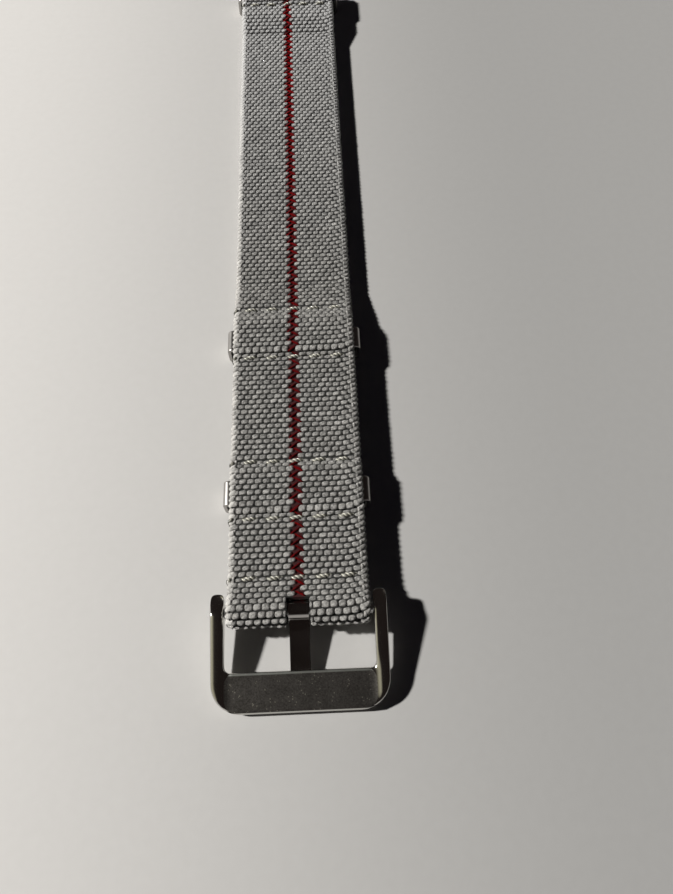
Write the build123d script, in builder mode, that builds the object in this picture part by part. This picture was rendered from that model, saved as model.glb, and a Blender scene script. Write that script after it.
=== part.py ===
from build123d import *

import os
from math import acos, asin, atan2, cos, hypot, radians, sin

os.makedirs("parts", exist_ok=True)

# A one-piece watch strap of chunky woven webbing, lying on a table with the side
# that meets the wrist facing up. All lengths are in millimetres.
#
# X runs across the strap, Y runs along it from the buckle to the tail, Z is up.
# Distances along the strap are measured from the axis of the buckle's spring bar.

# Webbing
strap_width = 20.0
webbing_thickness = 1.2
layer_gap = 0.1
tail_length = 255.0
tip_corner_radius = 5.0
fold_corner_radius = 1.2
webbing_bend_radius = 1.1

# Red yarns woven into the middle of both faces
yarn_width = 1.8
yarn_depth = 0.4

# Metal keepers: flat strip bent into a rectangular ring
keeper_strip = 0.6
keeper_width = 4.0
keeper_side_clearance = 0.4
keeper_clearance = 0.09
keeper_corner_radius = 0.9
keeper_edge_radius = 0.25

# Seams and pockets along the strap, in order from the spring bar
seam_1_distance = 4.5
pocket_a_distance = 8.8
keeper_a_near_gap = 2.4
keeper_a_far_gap = 2.6
pocket_spacing = 18.5
keeper_b_near_gap = 1.85
keeper_b_far_gap = 3.85
flap_free_length = 80.85
loop_near_gap = 2.7
folded_end_length = 2.7

# How far each keeper slides, towards the buckle and towards the tail
keeper_a_back = 0.6
keeper_a_forward = 0.9
keeper_b_back = 0.2
keeper_b_forward = 1.0
keeper_c_back = 1.0
keeper_c_forward = 0.3
travel_clearance = 0.2

# How the two layers lie between the seams
ramp_length = 1.1
seam_5_drop = 0.35
flap_gap = 0.65
descent_length = 5.6
loop_descent_length = 4.8

# Sewing thread
thread_diameter = 0.36
thread_stand = 0.09
stitch_length = 3.5
stitch_count = 5
needle_hole = 0.3

# Buckle frame
frame_side_clearance = 0.3
arm_thickness = 1.85
lug_radius = 1.95
lug_offset = 0.65
axis_rise = 0.6
bar_inner_reach = 7.9
bar_width = 5.4
bar_thickness = 1.3
arm_rise = 0.75
ridge_length = 2.4
rim_drop = 0.4
frame_corner_radius = 4.2
window_corner_radius = 0.7
cove_reach = 0.9
cove_radius = 1.7
cove_run_out = 4.5
arm_edge_radius = 0.6
window_edge_radius = 0.5

# Tang
tang_width = 2.8
tang_thickness = 0.55
tang_reach = 12.3
tang_clearance = 0.05
tang_tip_radius = 0.9
lip_angle = 165.0
slot_width = 3.2
slot_wrist_reach = 1.5
slot_outer_reach = 3.2

# Spring bar
tube_radius = 0.8
tube_wall = 0.2
tube_end_clearance = 0.1
tube_lip = 0.3
pin_radius = 0.4
pin_head_radius = 0.54
pin_head_length = 0.8
pin_engagement = 1.4
pin_clearance = 0.05
spring_radius = 0.42
spring_wire = 0.2
spring_turns = 22
webbing_clearance = 0.1

# Holes for the tang in the tail
hole_width = 3.2
hole_length = 1.4
hole_spacing = 7.5
hole_count = 8
hole_tip_distance = 28.0

# One overrun serves every cut that has to break through a surface
overrun = 1.0

# Places along the strap, worked out from the sizes above
half_webbing = webbing_thickness / 2
seam_1_at = seam_1_distance
seam_2_at = seam_1_at + pocket_a_distance
keeper_a_at = seam_2_at + keeper_a_near_gap
seam_3_at = keeper_a_at + keeper_width + keeper_a_far_gap
seam_4_at = seam_3_at + pocket_spacing
keeper_b_at = seam_4_at + keeper_b_near_gap
seam_5_at = keeper_b_at + keeper_width + keeper_b_far_gap
seam_6_at = seam_5_at + flap_free_length
keeper_c_at = seam_6_at + loop_near_gap
folded_end_at = seam_6_at - folded_end_length
last_hole_at = tail_length - hole_tip_distance
first_hole_at = last_hole_at - hole_spacing * (hole_count - 1)

# Heights of the layers above the table, each for the middle of the webbing
keeper_opening = 2 * webbing_thickness + 3 * keeper_clearance
inner_bar_low = keeper_strip + keeper_opening
inner_bar_high = inner_bar_low + keeper_strip
strap_mid = inner_bar_low - keeper_clearance - half_webbing
flap_mid = strap_mid + webbing_thickness + layer_gap
flap_over_keeper_mid = inner_bar_high + keeper_clearance + half_webbing
table_mid = half_webbing
flap_free_mid = webbing_thickness + flap_gap + half_webbing
strap_in_loop_mid = keeper_strip + keeper_clearance + half_webbing
bar_height = (strap_mid + flap_mid) / 2 + axis_rise

# The end loop goes round the inner bar of the third keeper
loop_radius = (flap_over_keeper_mid - strap_mid) / 2
loop_mid = (flap_over_keeper_mid + strap_mid) / 2
loop_centre_at = keeper_c_at + keeper_width + keeper_c_forward + travel_clearance

# The fold goes round the spring bar
fold_inner_radius = tube_radius + webbing_clearance
fold_radius = fold_inner_radius + half_webbing
fold_outer_radius = fold_radius + half_webbing

# The buckle frame droops until the tip of the tang rests on the table
frame_inner_width = strap_width + 2 * frame_side_clearance
frame_width = frame_inner_width + 2 * arm_thickness
frame_reach = bar_inner_reach + bar_width
half_bar = bar_thickness / 2
tang_low = half_bar + tang_clearance + tang_thickness
tang_mid = half_bar + tang_clearance + tang_thickness / 2
roll_radius = tube_radius + tang_clearance + tang_thickness / 2
droop = asin(bar_height / hypot(tang_reach, tang_low)) - atan2(tang_low, tang_reach)

# The origin is under the middle of the whole strap, on the table
buckle_reach = frame_reach * cos(droop)
axis_y = (buckle_reach - tail_length) / 2
frame_plan = Plane(
    origin=(0, axis_y, bar_height),
    x_dir=(1, 0, 0),
    z_dir=(0, -sin(droop), cos(droop)),
)
frame_side = Plane(
    origin=(0, axis_y, bar_height),
    x_dir=(0, cos(droop), sin(droop)),
    z_dir=(1, 0, 0),
)
strap_side = Plane(origin=(0, axis_y, 0), x_dir=(0, 1, 0), z_dir=(1, 0, 0))
strap_plan = Plane(origin=(0, axis_y, 0))


def seam_plane(distance):
    """Upright plane across the strap, seen from the tail, at one seam."""
    return Plane(origin=(0, axis_y + distance, 0), x_dir=(1, 0, 0), z_dir=(0, -1, 0))


def tangent_point(point, centre, radius, side):
    """Where a line from a point outside a circle touches the circle."""
    away_x = point[0] - centre[0]
    away_y = point[1] - centre[1]
    angle = atan2(away_y, away_x) + side * acos(radius / hypot(away_x, away_y))
    return (centre[0] + radius * cos(angle), centre[1] + radius * sin(angle))


def bump(low, high, start, end):
    """Points that lift the flap over a keeper, from a high distance to a low one."""
    return [
        (end + ramp_length, low),
        (end, high),
        (start, high),
        (start - ramp_length, low),
    ]


# Side line of the webbing: folded end, loop, flap, fold, strap, tail
fold_centre = (0, bar_height)
fold_top = tangent_point((seam_1_at, flap_mid), fold_centre, fold_radius, 1)
fold_bottom = tangent_point((seam_1_at, strap_mid), fold_centre, fold_radius, -1)
seam_5_flap_mid = flap_mid - seam_5_drop
seam_5_strap_mid = strap_mid - seam_5_drop
keeper_a_low_at = keeper_a_at - keeper_a_back - travel_clearance
keeper_a_high_at = keeper_a_at + keeper_width + keeper_a_forward + travel_clearance
keeper_b_low_at = keeper_b_at - keeper_b_back - travel_clearance
keeper_b_high_at = keeper_b_at + keeper_width + keeper_b_forward + travel_clearance
keeper_c_low_at = keeper_c_at - keeper_c_back - travel_clearance
seam_5_near = seam_5_at - thread_diameter
seam_5_far = seam_5_at + thread_diameter
folded_clear_at = folded_end_at - thread_diameter
strap_rise_at = keeper_c_low_at - loop_descent_length

with BuildLine() as webbing_line:
    Line((folded_end_at, strap_mid), (loop_centre_at, strap_mid))
    ThreePointArc(
        (loop_centre_at, strap_mid),
        (loop_centre_at + loop_radius, loop_mid),
        (loop_centre_at, flap_over_keeper_mid),
    )
    FilletPolyline(
        (loop_centre_at, flap_over_keeper_mid),
        (keeper_c_low_at, flap_over_keeper_mid),
        (keeper_c_low_at - ramp_length, flap_mid),
        (folded_clear_at, flap_mid),
        (folded_clear_at - loop_descent_length, flap_free_mid),
        (seam_5_far + descent_length, flap_free_mid),
        (seam_5_far, seam_5_flap_mid),
        (seam_5_near, seam_5_flap_mid),
        (keeper_b_high_at, flap_over_keeper_mid),
        (keeper_b_low_at, flap_over_keeper_mid),
        (keeper_b_low_at - ramp_length, flap_mid),
        bump(flap_mid, flap_over_keeper_mid, keeper_a_low_at, keeper_a_high_at),
        (seam_1_at, flap_mid),
        fold_top,
        radius=webbing_bend_radius,
    )
    ThreePointArc(fold_top, (-fold_radius, bar_height), fold_bottom)
    FilletPolyline(
        fold_bottom,
        (seam_1_at, strap_mid),
        (keeper_b_high_at, strap_mid),
        (seam_5_near, seam_5_strap_mid),
        (seam_5_far, seam_5_strap_mid),
        (seam_5_far + descent_length, table_mid),
        (strap_rise_at, table_mid),
        (keeper_c_low_at, strap_in_loop_mid),
        (loop_centre_at, strap_in_loop_mid),
        (loop_centre_at + loop_descent_length, table_mid),
        (tail_length, table_mid),
        radius=webbing_bend_radius,
    )


# The tang's slot through the fold and the row of holes in the tail
with BuildPart() as webbing_cuts:
    with BuildSketch(strap_plan.offset(bar_height)):
        with Locations((0, slot_wrist_reach - fold_outer_radius)):
            Rectangle(slot_width, 2 * fold_outer_radius)
    extrude(amount=fold_outer_radius + overrun)
    with BuildSketch(strap_plan.offset(bar_height)):
        with Locations((0, (slot_outer_reach - 2 * fold_outer_radius) / 2)):
            Rectangle(slot_width, slot_outer_reach + 2 * fold_outer_radius)
    extrude(amount=-bar_height)
    with BuildSketch(strap_plan.offset(-overrun)):
        with Locations((0, (first_hole_at + last_hole_at) / 2)):
            with GridLocations(strap_width, hole_spacing, 1, hole_count):
                SlotOverall(hole_width, hole_length)
    extrude(amount=webbing_thickness + 2 * overrun)


# Sewing thread: each seam is a lockstitch of two threads that meet inside the webbing
def sewing_thread(distance, surface, middle):
    """One thread of a seam, stitches on a surface and loops down its needle holes."""
    inward = 1 if middle > surface else -1
    stitch_mid = surface + inward * (thread_diameter / 2 - thread_stand)
    with BuildPart() as thread:
        with BuildSketch(seam_plane(distance)):
            with Locations((0, stitch_mid)):
                with GridLocations(stitch_length, 0, stitch_count, 1):
                    SlotOverall(stitch_length + needle_hole, thread_diameter)
            with Locations((0, (stitch_mid + middle) / 2)):
                with GridLocations(stitch_length, 0, stitch_count + 1, 1):
                    Rectangle(needle_hole, abs(stitch_mid - middle))
        extrude(amount=thread_diameter / 2, both=True)
    return thread.part


middle_of_layers = (strap_mid + flap_mid) / 2
seams = [
    ("seam_1_buckle_loop", seam_1_at, 0),
    ("seam_2_keeper_a_near", seam_2_at, 0),
    ("seam_3_keeper_a_far", seam_3_at, 0),
    ("seam_4_keeper_b_near", seam_4_at, 0),
    ("seam_5_keeper_b_far", seam_5_at, seam_5_drop),
    ("seam_6_end_loop", seam_6_at, 0),
]
threads = {}
for seam_name, seam_at, drop in seams:
    wrist_face = flap_mid + half_webbing - drop
    outer_face = strap_mid - half_webbing - drop
    between = middle_of_layers - drop
    threads[seam_name + "_needle_thread"] = sewing_thread(seam_at, wrist_face, between)
    threads[seam_name + "_bobbin_thread"] = sewing_thread(seam_at, outer_face, between)

for thread_name, thread_part in threads.items():
    thread_part.label = thread_name
    export_step(thread_part, "parts/" + thread_name + ".step")


# Red yarns: one in each face of the webbing, cut through where the slot and holes are
with BuildSketch(strap_side.offset(-yarn_width / 2)) as yarn_bands:
    trace(webbing_line.line, line_width=webbing_thickness)
    core = webbing_thickness - 2 * yarn_depth
    trace(webbing_line.line, line_width=core, mode=Mode.SUBTRACT)


def red_yarn(band):
    """The red yarn of one face, with the holes and the thread of the seams cut out."""
    with BuildPart() as yarn:
        extrude(band, amount=yarn_width)
        add(webbing_cuts.part, mode=Mode.SUBTRACT)
        for crossing_thread in threads.values():
            add(crossing_thread, mode=Mode.SUBTRACT)
    return yarn.part


# The yarn that is outside at the fold and at the loop is the longer of the two
back_band, face_band = yarn_bands.sketch.faces().sort_by(SortBy.AREA)
yarns = {"back": red_yarn(back_band), "face": red_yarn(face_band)}
for yarn_name, yarn_part in yarns.items():
    lengths = yarn_part.solids().sort_by(Axis.Z)
    flap_yarn = Part(lengths[-1].wrapped)
    flap_yarn.label = "red_yarn_flap_" + yarn_name
    export_step(flap_yarn, "parts/" + flap_yarn.label + ".step")
    strap_yarn = Compound(children=lengths[:-1])
    strap_yarn.label = "red_yarn_strap_" + yarn_name
    export_step(strap_yarn, "parts/" + strap_yarn.label + ".step")

# Webbing: one length, folded round the spring bar and looped round the last keeper
with BuildPart() as webbing:
    with BuildSketch(strap_side.offset(-strap_width / 2)):
        trace(webbing_line.line, line_width=webbing_thickness)
    extrude(amount=strap_width)
    with BuildSketch(strap_plan.offset(-overrun)):
        with Locations((0, (tail_length - fold_outer_radius) / 2)):
            outline = Rectangle(strap_width, tail_length + fold_outer_radius)
        fold_end = outline.vertices().group_by(Axis.Y)[0]
        rounded_fold = fillet(fold_end, radius=fold_corner_radius)
        tail_end = rounded_fold.vertices().group_by(Axis.Y)[-1]
        fillet(tail_end, radius=tip_corner_radius)
    extrude(amount=bar_height + fold_outer_radius + 2 * overrun, mode=Mode.INTERSECT)
    add(webbing_cuts.part, mode=Mode.SUBTRACT)
    for sewn_thread in threads.values():
        add(sewn_thread, mode=Mode.SUBTRACT)
    for woven_yarn in yarns.values():
        add(woven_yarn, mode=Mode.SUBTRACT)
webbing.part.label = "webbing"
export_step(webbing.part, "parts/webbing.step")


# Keepers: three rings of flat strip, standing on the table
keeper_inner_width = strap_width + 2 * keeper_side_clearance
keeper_height = keeper_opening + 2 * keeper_strip
keepers = {"keeper_a": keeper_a_at, "keeper_b": keeper_b_at, "keeper_c": keeper_c_at}
for keeper_name, keeper_at in keepers.items():
    with BuildPart() as keeper:
        with BuildSketch(seam_plane(keeper_at)):
            with Locations((0, keeper_height / 2)):
                outside = Rectangle(
                    keeper_inner_width + 2 * keeper_strip, keeper_height
                )
                fillet(outside.vertices(), radius=keeper_corner_radius)
                offset(amount=-keeper_strip, mode=Mode.SUBTRACT)
        extrude(amount=-keeper_width)
        rims = keeper.faces().filter_by(Axis.Y).edges()
        fillet(rims, radius=keeper_edge_radius)
    keeper.part.label = keeper_name
    export_step(keeper.part, "parts/" + keeper_name + ".step")


# Buckle frame: two arms with round lugs, and a bar whose back is set below them
arm_top = half_bar + arm_rise
lug_centre = (lug_offset, 0)
lug_end = lug_offset + lug_radius
upper_start = tangent_point((-bar_inner_reach, arm_top), lug_centre, lug_radius, -1)
lower_start = tangent_point((-bar_inner_reach, -half_bar), lug_centre, lug_radius, 1)
# The ridge falls below the bar's back at the end, which leaves the bar a sloping rim
ridge_start = (-frame_reach + ridge_length, arm_top)
rim_top = (-frame_reach, half_bar - rim_drop)
rim_low = (-frame_reach, -half_bar)
frame_normal = Axis((0, 0, 0), frame_plan.z_dir)


def cove_section(reach, lift):
    """The hollow's section across the frame, lifted above the back of the bar."""
    section = Plane(
        origin=frame_plan.origin - frame_plan.y_dir * reach,
        x_dir=(1, 0, 0),
        z_dir=-frame_plan.y_dir,
    )
    with BuildSketch(section) as channel:
        with Locations((0, half_bar + lift + cove_radius)):
            sides = Rectangle(frame_inner_width + 2 * cove_reach, 2 * cove_radius)
        floor_corners = sides.vertices().group_by(Axis.Y)[0]
        fillet(floor_corners, radius=cove_radius)
    return channel.sketch


# The hollow in the bar's back rises into the arms in a round cove, and runs out on them
run_out_reach = bar_inner_reach - cove_run_out
with BuildPart() as hollow:
    bar_end = cove_section(bar_inner_reach, 0)
    extrude(bar_end, amount=2 * bar_width)
    loft([bar_end, cove_section(run_out_reach, arm_rise + pin_clearance)])

with BuildPart() as buckle_frame:
    with BuildSketch(frame_side.offset(-frame_width / 2)):
        with BuildLine():
            ThreePointArc(lower_start, (lug_end, 0), upper_start)
            Line(upper_start, (-bar_inner_reach, arm_top))
            Line((-bar_inner_reach, arm_top), ridge_start)
            TangentArc(ridge_start, rim_top, tangent=(-1, 0))
            Line(rim_top, rim_low)
            Line(rim_low, (-bar_inner_reach, -half_bar))
            Line((-bar_inner_reach, -half_bar), lower_start)
        make_face()
    extrude(amount=frame_width)
    with BuildSketch(frame_plan):
        with Locations((0, (lug_end - frame_reach) / 2)):
            frame_outline = Rectangle(frame_width, frame_reach + lug_end)
        bar_corners = frame_outline.vertices().group_by(Axis.Y)[0]
        fillet(bar_corners, radius=frame_corner_radius)
    extrude(amount=2 * lug_radius, both=True, mode=Mode.INTERSECT)
    with BuildSketch(frame_plan):
        with Locations((0, lug_end)):
            window = Rectangle(frame_inner_width, 2 * (lug_end + bar_inner_reach))
        window_corners = window.vertices().group_by(Axis.Y)[0]
        fillet(window_corners, radius=window_corner_radius)
    extrude(amount=2 * lug_radius, both=True, mode=Mode.SUBTRACT)
    outer_side = frame_width / 2 - arm_edge_radius
    outer_edges = buckle_frame.edges().filter_by(frame_normal, reverse=True)
    left_edges = outer_edges.filter_by_position(Axis.X, -frame_width, -outer_side)
    right_edges = outer_edges.filter_by_position(Axis.X, outer_side, frame_width)
    fillet(left_edges + right_edges, radius=arm_edge_radius)
    # Rounding one arm's inner edges carries on round the window and up the other arm
    inner_face = buckle_frame.faces().filter_by(Axis.X).sort_by(
        lambda face: abs(face.center().X - frame_inner_width / 2)
    )[0]
    straight_edges = inner_face.edges().filter_by(GeomType.LINE)
    long_edges = straight_edges.filter_by(lambda edge: edge.length > bar_width)
    fillet(long_edges, radius=window_edge_radius)
    add(hollow.part, mode=Mode.SUBTRACT)
    with BuildSketch(frame_side.offset(-frame_width)):
        Circle(pin_radius + pin_clearance)
    extrude(amount=2 * frame_width, mode=Mode.SUBTRACT)
buckle_frame.part.label = "buckle_frame"
export_step(buckle_frame.part, "parts/buckle_frame.step")

# Tang: a flat strip rolled round the spring bar, whose blade passes under the bar
tang_tip = (-tang_reach, -tang_mid)
roll_start = tangent_point(tang_tip, (0, 0), roll_radius, 1)
lip = (
    roll_radius * cos(radians(lip_angle)),
    roll_radius * sin(radians(lip_angle)),
)
with BuildPart() as tang:
    with BuildSketch(frame_side):
        with BuildLine() as tang_line:
            Line(tang_tip, roll_start)
            ThreePointArc(roll_start, (roll_radius, 0), lip)
        trace(tang_line.line, line_width=tang_thickness)
    extrude(amount=tang_width / 2, both=True)
    tip_face = tang.faces().sort_by(Axis.Y)[0]
    tip_sides = tip_face.edges().filter_by(Axis.X, reverse=True)
    fillet(tip_sides, radius=tang_tip_radius)
tang.part.label = "tang"
export_step(tang.part, "parts/tang.step")

# Spring bar: a tube with a lip at each end that holds the head of a sprung pin
tube_half = frame_inner_width / 2 - tube_end_clearance
head_at = tube_half - tube_lip - pin_clearance
bore_radius = tube_radius - tube_wall
with BuildPart() as spring_bar_tube:
    with BuildSketch(frame_side):
        Circle(tube_radius)
    extrude(amount=tube_half, both=True)
    with BuildSketch(frame_side):
        Circle(bore_radius)
    extrude(amount=tube_half - tube_lip, both=True, mode=Mode.SUBTRACT)
    with BuildSketch(frame_side):
        Circle(pin_radius + pin_clearance)
    extrude(amount=frame_width, both=True, mode=Mode.SUBTRACT)
spring_bar_tube.part.label = "spring_bar_tube"
export_step(spring_bar_tube.part, "parts/spring_bar_tube.step")

for side_name, side in (("left", -1), ("right", 1)):
    with BuildPart() as pin:
        with BuildSketch(frame_side.offset(side * (head_at - pin_head_length))):
            Circle(pin_head_radius)
        extrude(amount=side * pin_head_length)
        with BuildSketch(frame_side.offset(side * head_at)):
            Circle(pin_radius)
        tip_length = tube_half + tube_end_clearance + pin_engagement - head_at
        extrude(amount=side * tip_length)
    pin.part.label = "spring_bar_pin_" + side_name
    export_step(pin.part, "parts/" + pin.part.label + ".step")

spring_half = head_at - pin_head_length - spring_wire / 2
with BuildPart() as spring_bar_spring:
    with BuildLine() as coil_line:
        coil = Helix(
            pitch=2 * spring_half / spring_turns,
            height=2 * spring_half,
            radius=spring_radius,
            center=(-spring_half, axis_y, bar_height),
            direction=(1, 0, 0),
        )
    with BuildSketch(Plane(origin=coil @ 0, z_dir=coil % 0)):
        Circle(spring_wire / 2)
    sweep(path=coil)
spring_bar_spring.part.label = "spring_bar_spring"
export_step(spring_bar_spring.part, "parts/spring_bar_spring.step")
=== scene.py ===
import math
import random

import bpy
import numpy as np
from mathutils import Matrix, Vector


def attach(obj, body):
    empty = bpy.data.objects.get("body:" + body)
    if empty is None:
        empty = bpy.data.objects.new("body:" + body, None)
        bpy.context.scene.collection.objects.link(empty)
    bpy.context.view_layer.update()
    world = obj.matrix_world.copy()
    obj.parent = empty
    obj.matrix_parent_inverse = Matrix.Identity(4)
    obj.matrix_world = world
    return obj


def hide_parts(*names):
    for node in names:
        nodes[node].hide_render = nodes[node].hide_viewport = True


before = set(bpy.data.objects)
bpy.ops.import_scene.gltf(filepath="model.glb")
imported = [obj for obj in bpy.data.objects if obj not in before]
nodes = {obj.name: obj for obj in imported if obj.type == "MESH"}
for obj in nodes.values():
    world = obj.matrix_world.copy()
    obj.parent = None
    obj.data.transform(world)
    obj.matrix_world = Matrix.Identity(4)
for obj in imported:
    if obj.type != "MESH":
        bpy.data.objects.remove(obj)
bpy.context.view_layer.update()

# %% [markdown]
# # A woven watch strap
#
# The steel pieces of this strap are already solid: they come with the frame, and only
# need their finish. What Blender adds is everything woven and sewn. A strap like this
# is thick weft yarn going to and fro over the warp, so its surface is rows of small
# beads laid like bricks. A picture of a weave would look flat from the side, so here
# each bead is a small piece of yarn, modelled once and laid down thousands of times.

mm = 0.001
dice = random.Random(20)

# %% [markdown]
# ## The sizes that the weave follows
#
# These are the sizes of the solid strap, in millimetres, repeated from its drawing.
# Distances along the strap are measured from the axis of the buckle's spring bar, and
# heights from the table. Working in the maker's own sizes keeps every yarn in the
# place that the solid strap gives it.

# %% Sizes of the strap
axis_y = -121.0013
bar_height = 3.83
strap_width = 20.0
webbing_thickness = 1.2
half_webbing = webbing_thickness / 2
bend_radius = 1.1
fold_radius = 1.5
tail_length = 255.0
tip_corner_radius = 5.0
thread_diameter = 0.36
seams_at = [4.5, 13.3, 22.3, 40.8, 50.5, 131.35]
keepers_at = [15.7, 42.65, 134.05]
keeper_width = 4.0
folded_end_at = 128.65
loop_centre_at, loop_radius, loop_mid = 138.55, 0.99, 3.57
strap_mid, flap_mid, flap_over_keeper_mid = 2.58, 3.88, 4.56
table_mid, flap_free_mid, strap_in_loop_mid = 0.6, 2.45, 1.29
ramp_length, loop_ramp_length, descent_length = 1.1, 4.8, 5.6
seam_5_drop = 0.35
slot_half_width, slot_wrist_reach, slot_outer_reach = 1.6, 1.5, 3.2
hole_half_width, hole_length = 1.6, 1.4
first_hole_at, hole_pitch, hole_count = 174.5, 7.5, 8
holes_at = [first_hole_at + hole_pitch * i for i in range(hole_count)]
print(f"{strap_width} x {tail_length} mm, with {len(seams_at)} seams and {len(holes_at)} holes")

# %% [markdown]
# ## The line of the webbing
#
# Seen from the side, the webbing is one long line: the folded end, round the last
# keeper, along the flap to the buckle, round the spring bar, and back under the flap
# to the tail. In the real strap that line has no corners, so each corner of the route
# below is rounded as the webbing itself bends. The line is kept as points with the
# direction at each point, which tells every yarn where it lies and which way is up.

# %% Arcs
arc_step = math.radians(6)


def arc_points(centre, radius, start, turn):
    """Points and directions round an arc that starts at an angle and turns by another."""
    count = max(2, math.ceil(abs(turn) / arc_step))
    side = 1 if turn > 0 else -1
    found = []
    for i in range(count + 1):
        a = start + turn * i / count
        place = (centre[0] + radius * math.cos(a), centre[1] + radius * math.sin(a))
        found.append((place, (-side * math.sin(a), side * math.cos(a))))
    return found


print("a corner of 90 degrees gets", math.ceil(math.radians(90) / arc_step), "steps")

# %% Straight runs with rounded corners
least_turn = 1e-4


def rounded_run(corners, radius):
    """Points and directions along a run of corners, each rounded to one radius."""
    corners = [Vector(c) for c in corners]
    directions = [(b - a).normalized() for a, b in zip(corners, corners[1:])]
    found = [(tuple(corners[0]), tuple(directions[0]))]
    for corner, before, after in zip(corners[1:], directions, directions[1:]):
        turn = math.atan2(before.x * after.y - before.y * after.x, before.dot(after))
        if abs(turn) < least_turn:
            continue
        side = 1 if turn > 0 else -1
        start = corner - before * radius * math.tan(abs(turn) / 2)
        centre = start + Vector((-before.y, before.x)) * radius * side
        angle = math.atan2(start.y - centre.y, start.x - centre.x)
        found += arc_points(centre, radius, angle, turn)
    return found + [(tuple(corners[-1]), tuple(directions[-1]))]


print("a run with one corner has", len(rounded_run([(0, 0), (9, 0), (9, 9)], 1)), "points")

# %% Where the two layers leave the fold round the spring bar
def touching_point(point, side):
    """Where a line from a point touches the circle of the fold round the spring bar."""
    away = Vector((point[0], point[1] - bar_height))
    angle = math.atan2(away.y, away.x) + side * math.acos(fold_radius / away.length)
    return (fold_radius * math.cos(angle), bar_height + fold_radius * math.sin(angle))


fold_top = touching_point((seams_at[0], flap_mid), 1)
fold_low = touching_point((seams_at[0], strap_mid), -1)
top_angle = math.atan2(fold_top[1] - bar_height, fold_top[0])
low_angle = math.atan2(fold_low[1] - bar_height, fold_low[0]) + math.tau
print(f"the webbing wraps {math.degrees(low_angle - top_angle):.0f} degrees of the spring bar")

# %% Where the flap climbs over each keeper
before_a, after_a, before_b, after_b, before_c = 0.8, 1.1, 0.4, 1.2, 1.2
keeper_a_low, keeper_a_high = keepers_at[0] - before_a, keepers_at[0] + keeper_width + after_a
keeper_b_low, keeper_b_high = keepers_at[1] - before_b, keepers_at[1] + keeper_width + after_b
keeper_c_low = keepers_at[2] - before_c
seam_5_near, seam_5_far = seams_at[4] - thread_diameter, seams_at[4] + thread_diameter
flap_end = folded_end_at - thread_diameter
print(f"the flap crosses the first keeper from {keeper_a_low:.1f} to {keeper_a_high:.1f} mm")

# %% The route, from the folded end to the tip of the tail
route = [((folded_end_at, strap_mid), (1, 0)), ((loop_centre_at, strap_mid), (1, 0))]
route += arc_points((loop_centre_at, loop_mid), loop_radius, -math.pi / 2, math.pi)
flap_corners = [
    (loop_centre_at, flap_over_keeper_mid),
    (keeper_c_low, flap_over_keeper_mid),
    (keeper_c_low - ramp_length, flap_mid),
    (flap_end, flap_mid),
    (flap_end - loop_ramp_length, flap_free_mid),
    (seam_5_far + descent_length, flap_free_mid),
    (seam_5_far, flap_mid - seam_5_drop),
    (seam_5_near, flap_mid - seam_5_drop),
    (keeper_b_high, flap_over_keeper_mid),
    (keeper_b_low, flap_over_keeper_mid),
    (keeper_b_low - ramp_length, flap_mid),
    (keeper_a_high + ramp_length, flap_mid),
    (keeper_a_high, flap_over_keeper_mid),
    (keeper_a_low, flap_over_keeper_mid),
    (keeper_a_low - ramp_length, flap_mid),
    (seams_at[0], flap_mid),
    fold_top,
]
route += rounded_run(flap_corners, bend_radius)
route += arc_points((0, bar_height), fold_radius, top_angle, low_angle - top_angle)
strap_corners = [
    fold_low,
    (seams_at[0], strap_mid),
    (keeper_b_high, strap_mid),
    (seam_5_near, strap_mid - seam_5_drop),
    (seam_5_far, strap_mid - seam_5_drop),
    (seam_5_far + descent_length, table_mid),
    (keeper_c_low - loop_ramp_length, table_mid),
    (keeper_c_low, strap_in_loop_mid),
    (loop_centre_at, strap_in_loop_mid),
    (loop_centre_at + loop_ramp_length, table_mid),
    (tail_length, table_mid),
]
route += rounded_run(strap_corners, bend_radius)
print("the route has", len(route), "points")

# %% The line as one table, read by its length
same_place = 1e-6
places = np.array([point for point, direction in route])
headings = np.array([direction for point, direction in route])
steps = np.hypot(*np.diff(places, axis=0).T)
kept = np.concatenate(([True], steps > same_place))
places, headings = places[kept], headings[kept]
lengths = np.concatenate(([0], np.cumsum(np.hypot(*np.diff(places, axis=0).T))))
line_length = lengths[-1]


def on_line(along):
    """Points of the webbing's middle at lengths along it, with direction and normal."""
    along = np.asarray(along, float)
    point = np.stack([np.interp(along, lengths, places[:, i]) for i in (0, 1)], -1)
    heading = np.stack([np.interp(along, lengths, headings[:, i]) for i in (0, 1)], -1)
    heading /= np.linalg.norm(heading, axis=-1, keepdims=True)
    normal = np.stack([-heading[..., 1], heading[..., 0]], -1)
    return point, heading, normal


loop_is_within = 30
from_fold = np.hypot(places[:, 0] + fold_radius, places[:, 1] - bar_height)
fold_along = lengths[np.argmin(from_fold)]
loop_along = lengths[np.argmax(np.where(lengths < loop_is_within, places[:, 0], 0))]
print(f"the webbing is {line_length:.1f} mm long and folds {fold_along:.1f} mm along")

# %% [markdown]
# ## Finishes
#
# A finish is a small recipe of shader nodes. They could be wired by hand in the shader
# editor, but writing them as sums keeps them readable: Level wraps one output of a
# node, and adding or multiplying Levels adds the Math nodes that Blender needs.

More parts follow.
